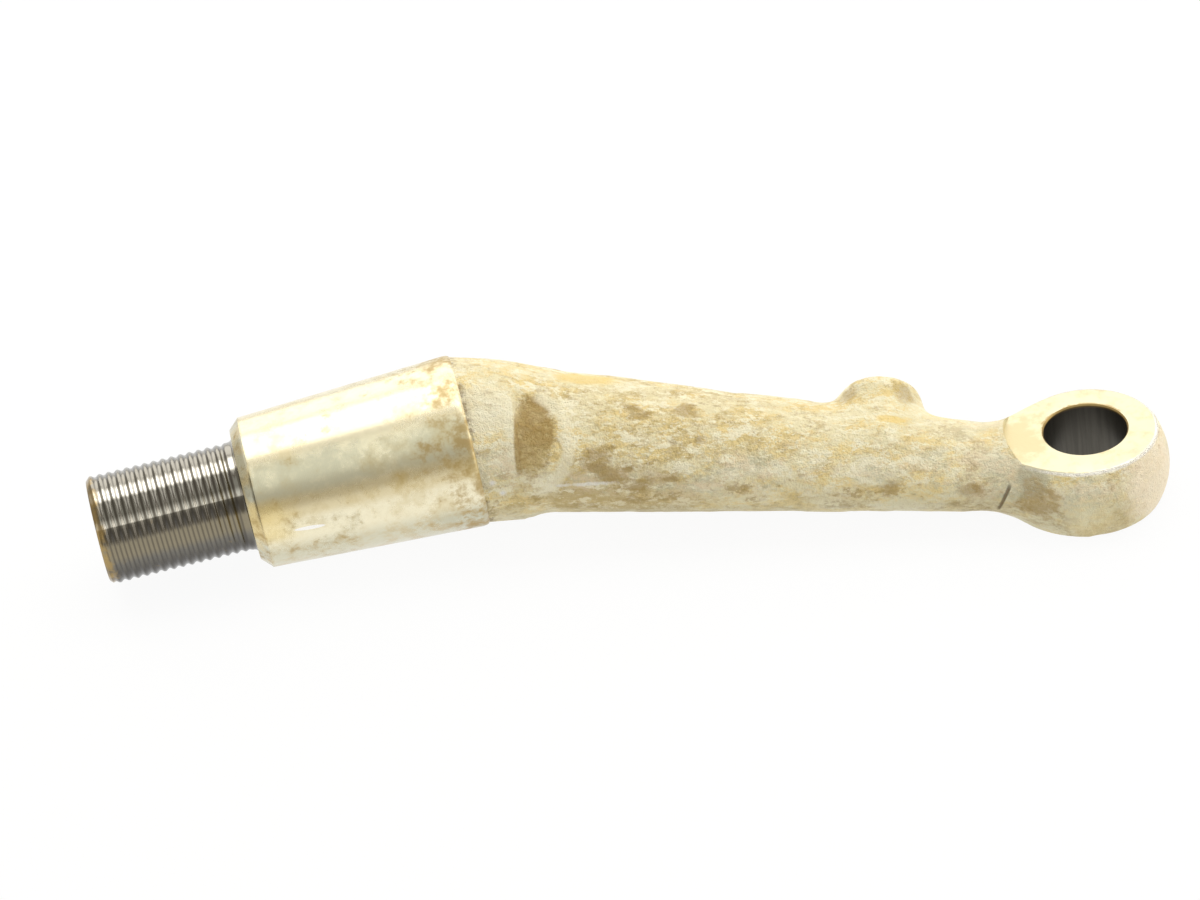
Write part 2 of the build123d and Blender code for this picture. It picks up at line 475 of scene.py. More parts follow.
def beam_halves(sizes, distance):
    """Half width and half height of the oval beam, less the draft's tangent times the way from the root."""
    thinned = math.tan(sizes.draft) * (sizes.root_at - distance) / beam_axis(sizes)[1][0]
    return sizes.root_width / 2 - thinned, sizes.root_height / 2 - thinned


def ball_centre(sizes):
    """Middle of the eye's ball."""
    return np.array((0.0, -sizes.ball_setover, 0.0))


def boss_distance(sizes, points):
    """Distance to the stop boss: a cylinder from the beam's axis outwards and up, less its rounding."""
    out = np.array((0.0, math.cos(sizes.boss_rise), math.sin(sizes.boss_rise)))
    offset = points - beam_point(sizes, sizes.boss_at)
    along = offset @ out
    across = np.linalg.norm(offset - along[..., None] * out, axis=-1)
    side = across - (sizes.boss_radius - sizes.boss_round)
    middle = (sizes.boss_height - sizes.boss_round) / 2
    top = np.abs(along - middle) - middle
    outside = np.hypot(np.maximum(side, 0), np.maximum(top, 0))
    return outside + np.minimum(np.maximum(side, top), 0) - sizes.boss_round


def beam_distance(sizes, points):
    """Rough distance to the oval beam: how far the point lies past the oval, as a share of its halves, times
    their mean. The beam ends inside the ball."""
    level, rising = round_frame(beam_axis(sizes)[1])
    away = -points[..., 0]
    offset = points - beam_point(sizes, away)
    half_width, half_height = beam_halves(sizes, away)
    reach = np.hypot((offset @ level) / half_width, (offset @ rising) / half_height)
    side = (reach - 1) * np.sqrt(half_width * half_height)
    return np.maximum(side, sizes.beam_end - away)


def forged_distance(sizes, points):
    """Rough distance to the beam, ball and boss, softly joined. The ball is a sphere, softly cut by a slab a
    little thicker than the eye."""
    ball = np.linalg.norm(points - ball_centre(sizes), axis=-1) - sizes.ball_radius
    slab = np.abs(points[..., 2]) - eye_half - sizes.rim_round / 10
    ball = -soft_min(-ball, -slab, sizes.rim_round)
    beam_and_ball = soft_min(beam_distance(sizes, points), ball, sizes.neck_blend)
    return soft_min(beam_and_ball, boss_distance(sizes, points), sizes.boss_blend)


def cast_out(sizes, centres, directions, reach=27 * MM, halvings=26):
    """Radii at which rays from the centres leave the forged shape, found by halving the reach."""
    near = np.zeros(directions.shape[:-1])
    far = np.full(directions.shape[:-1], reach)
    for _ in range(halvings):
        middle = (near + far) / 2
        inside = forged_distance(sizes, centres + middle[..., None] * directions) < 0
        near, far = np.where(inside, middle, near), np.where(inside, far, middle)
    return near


def row_distances():
    """Distances of the forging's rows from the bore's axis: even steps over each stretch, and last 0."""
    stretches = [
        np.linspace(start, end, round((start - end) / step), endpoint=False) * MM
        for start, end, step in ROW_STRETCHES
    ]
    return np.append(np.concatenate(stretches), 0.0)


def turned_share(sizes, distance):
    """How far each row has turned from the shank's axis, 0, to the beam's, 1: an S curve of the distance
    from the gauge point over the turn's length."""
    share = smooth_step(-0.35, 1.1, (-gauge_point[0] - distance) / sizes.turn_run)
    return (share - share[0]) / (1 - share[0])


def row_centres(sizes, distance):
    """Middles of the rows: on the beam's axis, but eased from the collar's middle at one end and to the
    ball's middle at the other."""
    reach = -gauge_point[0]
    collar = gauge_point - np.array((0.0, 0.0, sizes.collar_drop)) - beam_point(sizes, reach)
    settling = 1 - smooth_step(0, 10 * MM, reach - distance)[:, None]
    on_beam = smooth_step(0, 9 * MM, distance)[:, None]
    in_ball = ball_centre(sizes) - distance[:, None] * np.array(X_AXIS)
    return (beam_point(sizes, distance) + settling * collar) * on_beam + in_ball * (1 - on_beam)


def forged_rows(sizes):
    """Rows of the forging and their distances from the bore's axis. A section is an oval whose facing and
    halves go with the turned share from the collar's to the beam's. Within 60 mm of the bore's axis its
    radii are cast out to the joined beam, boss and ball instead."""
    turns = turns_of(sizes.columns)
    distance = row_distances()
    turned = turned_share(sizes, distance)[:, None]
    facing = unit((1 - turned) * -shank_out + turned * beam_axis(sizes)[1])
    centres = row_centres(sizes, distance)
    level, rising = round_frame(facing)
    across = np.cos(turns)[:, None] * level[:, None] + np.sin(turns)[:, None] * rising[:, None]
    half_width, half_height = (
        turned * half[:, None] + (1 - turned) * sizes.collar_radius for half in beam_halves(sizes, distance)
    )
    radii = 1 / np.hypot(np.cos(turns) / half_width, np.sin(turns) / half_height)
    near_eye = distance < 60 * MM
    radii[near_eye] = cast_out(sizes, centres[near_eye][:, None], across[near_eye])
    rows = centres[:, None] + radii[..., None] * across
    cap, cap_distance = ball_cap(sizes, across[-1], facing[-1])
    return np.concatenate([rows, cap]), np.concatenate([distance, cap_distance])


def ball_cap(sizes, across, facing):
    """Rows over the far side of the ball: rays fanned from across to the facing, cos across + sin facing."""
    fan = np.linspace(0, RIGHT_ANGLE, CAP_ROWS)[1:, None, None]
    spread = np.cos(fan) * across + np.sin(fan) * facing
    middle = ball_centre(sizes)
    rows = middle + cast_out(sizes, middle, spread)[..., None] * spread
    return rows, -sizes.ball_radius * np.sin(fan[:, 0, 0])


def skin_relief(marks, rows):
    """Lumps and grain as layered noise, less a step wherever a finer noise says that scale broke off."""
    relief = marks.lump_depth * layered_noise(rows, marks.lump_size, 3)
    relief += marks.grain_depth * layered_noise(rows, marks.grain_size, 11)
    scale = lattice_noise(rows, marks.scale_size, 21) + 0.45 * lattice_noise(rows, MM, 22)
    patch = smooth_step(-0.1, 0.5, layered_noise(rows, marks.scale_patch, 31))
    return relief - marks.scale_depth * patch * smooth_step(0.35, 0.85, scale)


def flash_line(marks, away, turns):
    """The flash line: a bell curve of the turn from it, faded out towards the boss and the bend."""
    from_line = (turns - marks.flash_turn + math.pi) % FULL_TURN - math.pi
    ends = smooth_step(*FLASH_STARTS, away) * (1 - smooth_step(*FLASH_ENDS, away))
    return marks.flash_height * np.exp(-((from_line / FLASH_SPREAD) ** 2)) * ends


def dent_and_ridge(marks, away, turns):
    """The dent, which starts with a step and runs out over 10 mm, and the ridge past it, a bell curve."""
    across = (turns - marks.dent_turn) * marks.dent_radius
    along = marks.dent_at - away
    dent = smooth_step(-0.4 * MM, 0.6 * MM, along) * (1 - smooth_step(1.5 * MM, 10 * MM, along))
    dent = dent * (1 - smooth_step(4.5 * MM, 8 * MM, np.abs(across)))
    ridge = np.exp(-(((along - marks.ridge_at + 0.35 * across) / (1.4 * MM)) ** 2))
    ridge = ridge * (1 - smooth_step(6 * MM, 11 * MM, np.abs(across)))
    return marks.ridge_height * ridge - marks.dent_depth * dent


def pits_and_beads(marks, rows):
    """Pits sunk and beads raised, each a bell curve of the distance over its reach, longer along the beam."""
    relief = np.zeros(rows.shape[:-1])
    for spots, height in ((SCALE_PITS, -marks.pit_depth), (BEADS, marks.bead_height)):
        for spot in spots:
            offset = (rows / MM - spot[:3]) / spot.reach * (0.7, 1.0, 1.3)
            relief += height * np.exp(-np.sum(offset**2, axis=-1))
    return relief


def weathered(sizes, marks, rows, distance):
    """The forging with its marks: each point moves out from its row's middle by the sum of them, which fades
    in past the collar and out at the eye's cut faces."""
    out = unit(rows - rows.mean(axis=1, keepdims=True) + 1e-9)
    turns = turns_of(sizes.columns)[None]
    away = distance[:, None]
    relief = skin_relief(marks, rows) + pits_and_beads(marks, rows)
    relief += flash_line(marks, away, turns) + dent_and_ridge(marks, away, turns)
    past_collar = smooth_step(0, 3 * MM, -gauge_point[0] - away)
    at_eye = smooth_step(-28 * MM, -24 * MM, rows[..., 0])
    faced = at_eye * smooth_step(eye_half - 1.4 * MM, eye_half - 0.4 * MM, np.abs(rows[..., 2]))
    return rows + (relief * past_collar * (1 - faced))[..., None] * out


def turned_piece(profile, columns):
    """Vertices and quads of a closed profile of radius and height, turned about the bore's axis."""
    radius, height = np.array(profile).T[:, :, None]
    turns = turns_of(columns)
    points = np.stack([radius * np.cos(turns), radius * np.sin(turns), height + 0 * turns], axis=-1)
    return points.reshape(-1, 3), tube_quads(len(profile), columns)


def make_mesh(name, points, quads, merge=1e-7):
    """A mesh object from vertices and quads, its doubles merged and its faces turned outwards."""
    mesh = bpy.data.meshes.new(name)
    mesh.from_pydata(points.tolist(), [], quads.tolist())
    piece = bpy.data.objects.new(name, mesh)
    bpy.context.scene.collection.objects.link(piece)
    work = bmesh.new()
    work.from_mesh(mesh)
    bmesh.ops.remove_doubles(work, verts=work.verts, dist=merge)
    bmesh.ops.dissolve_degenerate(work, edges=work.edges, dist=1e-7)
    bmesh.ops.recalc_face_normals(work, faces=work.faces)
    work.to_mesh(mesh)
    work.free()
    return piece


def cut(piece, profile, columns):
    """Takes a turned profile's volume from the piece."""
    cutter = make_mesh("cutter", *turned_piece(profile, columns))
    modifier = piece.modifiers.new("cut", "BOOLEAN")
    modifier.operation = "DIFFERENCE"
    modifier.solver = "EXACT"
    modifier.object = cutter
    with bpy.context.temp_override(object=piece, active_object=piece):
        bpy.ops.object.modifier_apply(modifier=modifier.name)
    bpy.data.objects.remove(cutter)


# Materials


class Value:
    """A number in a shader that changes over the surface, with the operators of arithmetic."""

    def __init__(self, paint, socket):
        self.paint = paint
        self.socket = socket

    def __add__(self, other):
        return self.paint.math("ADD", self, other)

    def __sub__(self, other):
        return self.paint.math("SUBTRACT", self, other)

    def __mul__(self, other):
        return self.paint.math("MULTIPLY", self, other)

    def __rsub__(self, other):
        return self.paint.math("SUBTRACT", other, self)

    def __neg__(self):
        return self.paint.math("MULTIPLY", self, -1.0)

    __radd__ = __add__
    __rmul__ = __mul__

    def band(self, half, soft):
        """1 within half of 0, and 0 from there on by an even S curve as long as soft."""
        return 1 - self.paint.math("ABSOLUTE", self).rise(half, half + soft)

    def rise(self, low, high):
        """0 below low, 1 above high and an even S curve between them."""
        settings = {"interpolation_type": "SMOOTHSTEP"}
        sockets = {"Value": self, "From Min": low, "From Max": high}
        return self.paint.value(self.paint.node("ShaderNodeMapRange", settings, sockets))


class Nodes:
    """The nodes of a material or a world under construction."""

    def __init__(self, tree):
        self.tree = tree

    def node(self, kind, settings=None, sockets=None):
        """Adds a node of a kind, sets its settings, and then fills or links its input sockets."""
        made = self.tree.nodes.new(kind)
        for name, setting in (settings or {}).items():
            setattr(made, name, setting)
        for key, given in (sockets or {}).items():
            self.fill(made.inputs[key], given)
        return made

    def fill(self, socket, given):
        """Links a socket to a value or another socket, or sets it to a constant."""
        if isinstance(given, Value):
            given = given.socket
        if isinstance(given, bpy.types.NodeSocket):
            self.tree.links.new(given, socket)
        else:
            socket.default_value = given

    def show(self, output, factor, first, second):
        """Sends two shaders, mixed by a factor, to the output node of the given name."""
        sockets = {0: factor, 1: first.outputs[0], 2: second.outputs[0]}
        mixed = self.node("ShaderNodeMixShader", {}, sockets)
        self.fill(self.tree.nodes[output].inputs["Surface"], mixed.outputs[0])


class Paint(Nodes):
    """A material under construction. Patterns read object coordinates in millimetres."""

    def __init__(self, name):
        self.material = bpy.data.materials.new(name)
        self.material.use_nodes = True
        super().__init__(self.material.node_tree)
        self.shader = self.tree.nodes["Principled BSDF"]
        place = self.node("ShaderNodeTexCoord").outputs["Object"]
        self.place = self.vector("SCALE", {0: place, "Scale": 1 / MM}).outputs[0]

    def value(self, node, output=0):
        """An output of a node as a value."""
        return Value(self, node.outputs[output])

    def math(self, operation, *terms):
        """A Math node of values and numbers."""
        return self.value(self.node("ShaderNodeMath", {"operation": operation}, dict(enumerate(terms))))

    def vector(self, operation, sockets):
        """A Vector Math node."""
        return self.node("ShaderNodeVectorMath", {"operation": operation}, sockets)

    def along(self, direction, point=ORIGIN):
        """Distance from a point along a direction, in millimetres: their difference times the direction."""
        offset = self.vector("SUBTRACT", {0: self.place, 1: tuple(point)}).outputs[0]
        return self.value(self.vector("DOT_PRODUCT", {0: offset, 1: tuple(direction)}), "Value")

    def away(self, point, stretch=(1, 1, 1)):
        """Distance from a point in millimetres, counted less along the axes that stretch."""
        offset = self.vector("SUBTRACT", {0: self.place, 1: tuple(point)}).outputs[0]
        shares = tuple(1 / share for share in stretch)
        offset = self.vector("MULTIPLY", {0: offset, 1: shares}).outputs[0]
        return self.value(self.vector("LENGTH", {0: offset}), "Value")

    def spot(self, mark, spread=1.0):
        """1 at a mark's middle, falling to 0 at its reach times the spread."""
        return 1 - self.away(mark[:3], mark.stretch).rise(0.0, mark.reach * spread)

    def noise(self, size, detail, roughness, shift=0.0, stretch=(1, 1, 1)):
        """Noise from about 0 to 1 whose lumps are the given size in millimetres."""
        sockets = {"Vector": self.place, "Scale": stretch, "Location": (shift, shift, shift)}
        place = self.node("ShaderNodeMapping", {"vector_type": "POINT"}, sockets).outputs[0]
        sockets = {"Vector": place, "Scale": 1 / size, "Detail": detail, "Roughness": roughness}
        return self.value(self.node("ShaderNodeTexNoise", {}, sockets))

    def mix(self, factor, first, second):
        """A colour between two, by a factor."""
        if not isinstance(first, bpy.types.NodeSocket):
            first = (*first, 1.0)
        if not isinstance(second, bpy.types.NodeSocket):
            second = (*second, 1.0)
        mixed = self.node("ShaderNodeMix", {"data_type": "RGBA"}, {0: factor, 6: first, 7: second})
        return mixed.outputs[2]

    def set(self, **sockets):
        """Sets the shader's sockets; an underscore in a name stands for a space."""
        for name, given in sockets.items():
            self.fill(self.shader.inputs[name.replace("_", " ")], given)

    def bump(self, height, depth):
        """Bump from a height of 0 to 1 that stands for a depth in millimetres."""
        sockets = {"Height": height, "Distance": depth * MM, "Strength": 1.0}
        return self.node("ShaderNodeBump", {}, sockets).outputs[0]


class Grain:
    """The noises that all patterns of the forged skin share, from broad to fine."""

    def __init__(self, paint):
        self.cloud = paint.noise(15.0, 3.0, 0.6, 0.0, ALONG_BEAM)
        self.mottle = paint.noise(4.2, 6.0, 0.72, 7.0, ALONG_BEAM)
        self.fine = paint.noise(1.2, 4.0, 0.7, 3.0)
        self.flecks = paint.noise(0.4, 2.0, 0.7, 5.0)


def forged_plating(finish, sizes):
    """Yellow zinc over a forged skin: chalky flecks, tan and ochre patches, painted reflection bands along
    the beam, painted shade towards the bottom and a painted highlight on the eye's rim.
    """
    paint = Paint("forged_plating")
    grain = Grain(paint)
    base, tanned = plated_skin(paint, finish, grain)
    base = bend_marks(paint, finish, grain, base)
    base = boss_marks(paint, finish, grain, base)
    base = eye_marks(paint, finish, grain, base)
    fold = paint.along(FOLD_OUT, NECK_FOLD).band(0.1, 0.35)
    fold = fold * paint.along(FOLD_ALONG, NECK_FOLD).band(2.6, 1.6)
    fold = fold * paint.along(Y_AXIS, NECK_FOLD).band(4, 3)
    base = paint.mix(fold * 0.75, base, finish.rust)
    # Painted highlight on the eye's rim just below its upper face, with lower roughness there
    rim = paint.along(Z_AXIS).rise(FACE_TOP - 1.0, FACE_TOP - 0.4) * paint.along(X_AXIS).rise(-15.5, -4.0)
    base = paint.mix(rim * 0.85, base, finish.bright)
    paint.set(Base_Color=base, Metallic=0.65)
    paint.set(Roughness=0.36 + tanned * 0.14 + grain.fine * 0.1 - rim * 0.18)
    paint.set(Normal=paint.bump(grain.mottle * 0.7 + grain.fine + grain.flecks * 0.6 - fold * 2, 1.0))
    return paint.material


def plated_skin(paint, finish, grain):
    """Gold, tan, grey, ochre and chalky patches over each other, with painted reflection bands by height
    along the beam, painted highlight flecks on its top and painted shade towards its bottom, and how far the
    plating has gone tan.
    """

    def patches(size, shift, start, stop):
        """1 in ragged patches: three quarters of a stretched noise and a quarter of the fine one."""
        broad = paint.noise(size, 6.0, 0.74, shift, ALONG_BEAM)
        return (broad * 0.75 + grain.fine * 0.25).rise(start, stop)

    height, above, from_bore = (paint.along(direction) for direction in (Z_AXIS, ABOVE_BEAM, X_AXIS))
    low = 1 - height.rise(-6.0, 14.0)
    sheltered = (1 - from_bore.rise(-95, -55)) * (0.2 + from_bore.rise(-122, -106) * 0.8)
    base = paint.mix(patches(6.0, 33.0, 0.46, 0.56) * 0.7, finish.plating, finish.gold)
    tanned = grain.mottle * 0.55 + grain.cloud * 0.35 + grain.fine * 0.25 + grain.flecks * 0.15
    # Tan in patches, a little more towards the bottom as painted shade, and more along the beam near the bend
    tanned = (tanned + low * 0.08 + sheltered * 0.1).rise(0.65, 0.85)
    base = paint.mix(tanned, base, finish.tan)
    # Painted reflection band: grey patches only in a band at middle height along the beam
    grey_band = patches(8.0, 17.0, 0.44, 0.56) * (above - 4).band(2.5, 5) * 0.55
    base = paint.mix(grey_band, base, paint.mix(grain.mottle.rise(0.4, 0.6), finish.shade, finish.blush))
    # Painted shade band: ochre patches stronger just below the middle height
    olive = (above + 1.5).band(2.0, 4.0) * 0.3 + 0.3
    base = paint.mix(patches(5.0, 71.0, 0.53, 0.58) * olive, base, finish.ochre)
    base = paint.mix(patches(2.6, 91.0, 0.57, 0.61) * (0.3 + sheltered * 0.2), base, finish.ochre)
    # Chalky patches, fewer towards the bottom as painted shade
    base = paint.mix(patches(3.0, 61.0, 0.52, 0.57) * (0.85 - low * 0.5), base, finish.chalk)
    # Painted highlight: fine chalk-pale flecks only along the top
    base = paint.mix(patches(1.5, 83.0, 0.53, 0.57) * above.rise(1.0, 8.0) * 0.7, base, finish.chalk)
    # Painted shade: greyer towards the bottom
    return paint.mix((1 - height.rise(-1.0, 5.0)) * 0.3, base, finish.shade), tanned


def bend_marks(paint, finish, grain, base):
    """Soil in the dent, stained pits and a rusty seam, with painted highlights on the ridge past the dent, on
    its lip, along the flash line and on the beads, and pale patches past the collar.
    """
    mottle, fine = grain.mottle, grain.fine
    inside = paint.along(X_AXIS, DENT_EDGE)
    soiled = (paint.spot(DENT_SOIL) + mottle * 0.7 + fine * 0.4).rise(0.95, 1.2) * inside.rise(-0.3, 0.3)
    soil = paint.mix((mottle * 0.7 + fine * 0.6).rise(0.5, 0.72), finish.tan, finish.ochre)
    base = paint.mix(soiled * 0.9, base, soil)
    # Painted highlight: chalk-pale on the ridge past the dent and on the dent's lip, beside pale patches past
    # the collar
    ridge = (paint.away(DENT_RIDGE[:3]) - DENT_RIDGE.reach).band(0.5, 2.4) * inside.rise(1.0, 6.0)
    ridge = (ridge * 0.5 + mottle * 0.8 + fine * 0.2).rise(0.7, 1.05)
    pale = (paint.spot(COLLAR_SIDE) * 0.6 + paint.spot(COLLAR_TOP) + fine * 0.6).rise(0.55, 0.95)
    base = paint.mix(ridge * 0.7 + paint.spot(DENT_LIP) * 0.7 + pale * 0.6, base, finish.chalk)
    crown = (paint.spot(BEND_CROWN) + mottle * 0.5).rise(0.5, 0.9)
    base = paint.mix(crown * 0.8, base, finish.gold)
    pits = sum(paint.spot(pit, 1.7) for pit in SCALE_PITS)
    stains = sum(paint.spot(stain) for stain in STAINS)
    stained = (stains * 0.5 + mottle * 1.2 + pits * 0.5).rise(0.85, 1.1)
    base = paint.mix(stained * 0.7, base, finish.ochre)
    # Painted highlight along the flash line
    flash = (paint.spot(FLASH_LINE) * 0.6 + fine * 0.9).rise(0.6, 1.0)
    by_shank = paint.along(shank_out, gauge_point / MM).rise(-1.8, -0.5)
    seam = by_shank * (mottle * 0.7 + fine * 0.5).rise(0.52, 0.72)
    base = paint.mix(seam * 0.7, base, finish.rust)
    # Painted glints on the beads
    beads = sum(paint.spot(bead, 1.2) for bead in BEADS)
    return paint.mix(flash * 0.7 + beads, base, finish.bright)


def boss_marks(paint, finish, grain, base):
    """Gold in the valley before the stop boss, and stains on its flanks."""
    valley = (paint.spot(BOSS_VALLEY) + grain.mottle * 0.4).rise(0.4, 0.8)
    base = paint.mix(valley * 0.8, base, finish.gold)
    flanks = sum(paint.spot(flank) for flank in BOSS_FLANKS)
    return paint.mix((flanks * 0.7 + grain.mottle).rise(0.75, 1.15) * 0.5, base, finish.ochre)


def eye_marks(paint, finish, grain, base):
    """The eye's side: brown and olive towards the neck, gold in front, pinkish past it, tan streaks below."""
    mottle, fine = grain.mottle, grain.fine
    blush = (paint.spot(BALL_BLUSH) + mottle * 0.6).rise(0.5, 1.0)
    base = paint.mix(blush * 0.75, base, finish.blush)
    front = (paint.spot(BALL_GOLD) + mottle * 0.7).rise(0.55, 1.15)
    base = paint.mix(front * 0.6, base, paint.mix(mottle.rise(0.4, 0.6) * 0.5, finish.plating, finish.gold))
    olive = (paint.spot(BALL_OLIVE) + mottle * 0.7).rise(0.7, 1.0)
    base = paint.mix(olive * 0.6, base, finish.shade)
    brown = (paint.spot(BALL_BROWN) * 0.55 + mottle * 1.4 + fine * 0.5).rise(1.05, 1.5)
    base = paint.mix(brown * 0.7, base, finish.ochre)
    streaks = paint.noise(2.6, 5.0, 0.7, 43.0, (1.0, 1.0, 0.55))
    streaked = (paint.spot(BALL_LOW) * 0.25 + streaks * 0.8 + fine * 0.2).rise(0.6, 0.76)
    return paint.mix(streaked * paint.spot(BALL_FRONT).rise(0.2, 0.5) * 0.4, base, finish.tan)


def shank_places(paint):
    """Run along the shank, distances level and rising from its axis in millimetres, and turn in degrees."""
    gauge = gauge_point / MM
    run = paint.along(shank_out, gauge)
    level, rising = (paint.along(direction, gauge) for direction in round_frame(-shank_out))
    return run, level, rising, paint.math("ARCTAN2", rising, level) * math.degrees(1)


def turned_plating(finish, sizes):
    """Yellow zinc over a turned skin: fine rings about the shank's axis, stains near the large end, painted
    reflection bands of grey and tan along it, painted shade towards its underside and a painted highlight
    streak."""
    paint = Paint("turned_plating")
    run, _, rising, turn = shank_places(paint)
    rings = paint.node("ShaderNodeCombineXYZ", {}, {"X": run}).outputs[0]
    lines = paint.value(paint.node("ShaderNodeTexNoise", {}, {"Vector": rings, "Scale": 6.0, "Detail": 3.0}))
    cloud = paint.noise(18.0, 3.0, 0.55, 5.0)
    mottle = paint.noise(3.5, 4.0, 0.7, 9.0)
    taper_end = (sizes.taper_length - sizes.shank_chamfer) / MM
    near_collar = 1 - run.rise(0.0, 20.0)
    small_end = run.rise(taper_end - 0.6, taper_end + 0.2)
    # Grey patches, with a painted reflection band of grey round 40 degrees of turn about the shank's axis
    grey = (cloud * 0.5 + mottle * 0.35 + (turn - 40).band(9, 12) * 0.16).rise(0.44, 0.62)
    base = paint.mix(grey * 0.65, Vector(finish.plating).lerp(Vector(finish.bright), 0.2), finish.shade)
    tanned = (paint.noise(9.0, 4.0, 0.65, 13.0) * 0.6 + mottle * 0.4 + near_collar * 0.1).rise(0.46, 0.7)
    # Tan patches, and a painted reflection band of tan round 18 degrees of turn
    base = paint.mix(tanned * 0.5 + (turn - 18).band(4, 9) * 0.5, base, finish.tan)
    # Painted shade: darker and browner towards the taper's underside, more so near the collar
    under = (-rising).rise(1.3, 7.0) * (0.6 + near_collar * 0.25)
    base = paint.mix(under, base, paint.mix(mottle.rise(0.4, 0.65) * 0.7, finish.shade, finish.ochre))
    base = paint.mix(run.rise(38, 46) * (turn - 10).band(10, 12) * 0.5, base, finish.gold)
    ring = paint.mix(paint.noise(5.0, 2.0, 0.5, 51.0).rise(0.4, 0.6), finish.tan, finish.shade)
    base = paint.mix(small_end * 0.6, base, ring)
    stain = (mottle * 0.7 + cloud * 0.3 + near_collar * 0.13 + small_end * 0.08).rise(0.57, 0.74)
    base = paint.mix(stain * 0.7, base, finish.ochre)
    # Painted highlight: a bright streak along the taper's near side
    base = paint.mix((paint.spot(TAPER_HIGHLIGHT_STREAK) + mottle * 0.3).rise(0.4, 0.6), base, finish.bright)
    paint.set(Base_Color=base, Metallic=0.9, Roughness=0.24 + grey * 0.06 + tanned * 0.08 + stain * 0.18)
    paint.set(Normal=paint.bump(lines + mottle * 0.3, 0.03))
    return paint.material


def faced_plating(finish, sizes):
    """Bright plating on the eye's cut faces, with a painted highlight along the rim, brown at the bore's
    mouth, stains towards the neck and a painted shadow past the bore.
    """
    paint = Paint("faced_plating")
    mottle = paint.noise(3.0, 4.0, 0.65, 15.0)
    cloud = paint.noise(7.0, 2.0, 0.5, 25.0)
    neck = paint.spot(FACE_NECK)
    golden = (mottle * 0.7 + cloud * 0.4 + neck * 0.25).rise(0.5, 0.75)
    base = paint.mix(golden * 0.5, finish.facing, finish.tan)
    height = paint.along(Z_AXIS)
    # Painted highlight along the rim just below the upper face, with lower roughness there
    edge = height.rise(FACE_TOP - 1.6, FACE_TOP - 1.1) * (1 - height.rise(FACE_TOP - 0.3, FACE_TOP - 0.04))
    edge = edge * paint.along(X_AXIS).rise(-15.5, -4.0)
    base = paint.mix(edge * 0.85, base, finish.bright)
    mouth_radius = bore_radius / MM + 0.3
    mouth = 1 - paint.away(ORIGIN, (1, 1, 1000)).rise(mouth_radius, mouth_radius + 1.1)
    mouth = mouth * paint.along((-0.3, 1, 0)).rise(-2, 6)
    stain = mottle * 0.8 + neck * 0.1 + paint.spot(FACE_MIDDLE) * 0.14 + mouth * 0.3
    base = paint.mix(stain.rise(0.6, 0.74) * 0.7, base, finish.ochre)
    base = paint.mix(paint.spot(FACE_SHADOW) * 0.3, base, finish.shade)
    paint.set(Base_Color=base, Metallic=0.7, Roughness=0.4 + golden * 0.1 - edge * 0.2)
    paint.set(Normal=paint.bump(mottle, 0.1))
    return paint.material


def thread_steel(finish, sizes):
    """Cut steel of the thread, with painted light by the turn about its axis: a painted highlight along its
    top and a thin one below it, painted shade bands and a paler painted reflection band on its side, painted
    shade on its flanks along with grime, and brown at its end.
    """
    paint = Paint("thread_steel")
    mottle = paint.noise(2.5, 3.0, 0.6)
    run, level, rising, turn = shank_places(paint)
    middle_radius = (stud_radius - sizes.thread_depth / 2) / MM
    radius = paint.math("SQRT", level * level + rising * rising)
    flank_shade = 1 - paint.math("ABSOLUTE", radius - middle_radius).rise(0.02, 0.24)
    end = (sizes.taper_length + sizes.stud_length) / MM
    face = run.rise(end - 0.3, end - 0.1)
    # Painted highlight: a broad band along the thread's top and a thin line below it, by the turn about the
    # shank's axis
    top_highlight = turn.rise(63.5, 70) * (1 - turn.rise(76, 84) * 0.75)
    line = turn.rise(35, 36.5) * (1 - turn.rise(37, 47)) * 0.55
    # Painted reflection band of tan round 8 degrees of turn; painted shade below -5 degrees and in a band
    # round 26 degrees
    base = paint.mix((turn - 8).band(5, 14) * 0.22, finish.oil, finish.tan)
    base = paint.mix((1 - turn.rise(-30, -5)) * 0.8 + (turn - 26).band(4, 7) * 0.5, base, finish.grime_and_shade)
    base = paint.mix((top_highlight + line) * (1 - face), base, finish.steel)
    # Painted shade, along with grime, on the thread's flanks between crest and root
    base = paint.mix(flank_shade * (1 - face) * 0.55, base, finish.grime_and_shade)
    brown = (mottle * 0.8 + run.rise(end - 3.3, end - 0.3) * 0.35).rise(0.5, 0.8)
    base = paint.mix(brown * 0.7, base, finish.ochre)
    paint.set(Base_Color=base, Metallic=1.0, Roughness=0.14 + mottle * 0.14)
    return paint.material


def bore_steel(finish, sizes):
    """Reamed steel of the bore, made very dark partly as painted shade inside the hole, with fine lines along
    it and a brown mouth.
    """
    paint = Paint("bore_steel")
    lines = paint.noise(0.9, 3.0, 0.6, 2.0, (1.0, 1.0, 0.05))
    base = paint.mix(lines.rise(0.3, 0.7) * 0.4, finish.bore, finish.grime_and_shade)
    mouth = paint.along(Z_AXIS).rise(FACE_TOP - 1.0, FACE_TOP - 0.1)
    base = paint.mix(mouth * 0.8, base, finish.ochre)
    paint.set(Base_Color=base, Metallic=0.9, Roughness=0.36)
    return paint.material


# The finishes in the order of their zones
FINISHES = (forged_plating, turned_plating, thread_steel, bore_steel, faced_plating)
FORGED, TURNED, THREADED, BORED, FACED = range(len(FINISHES))


# Operators


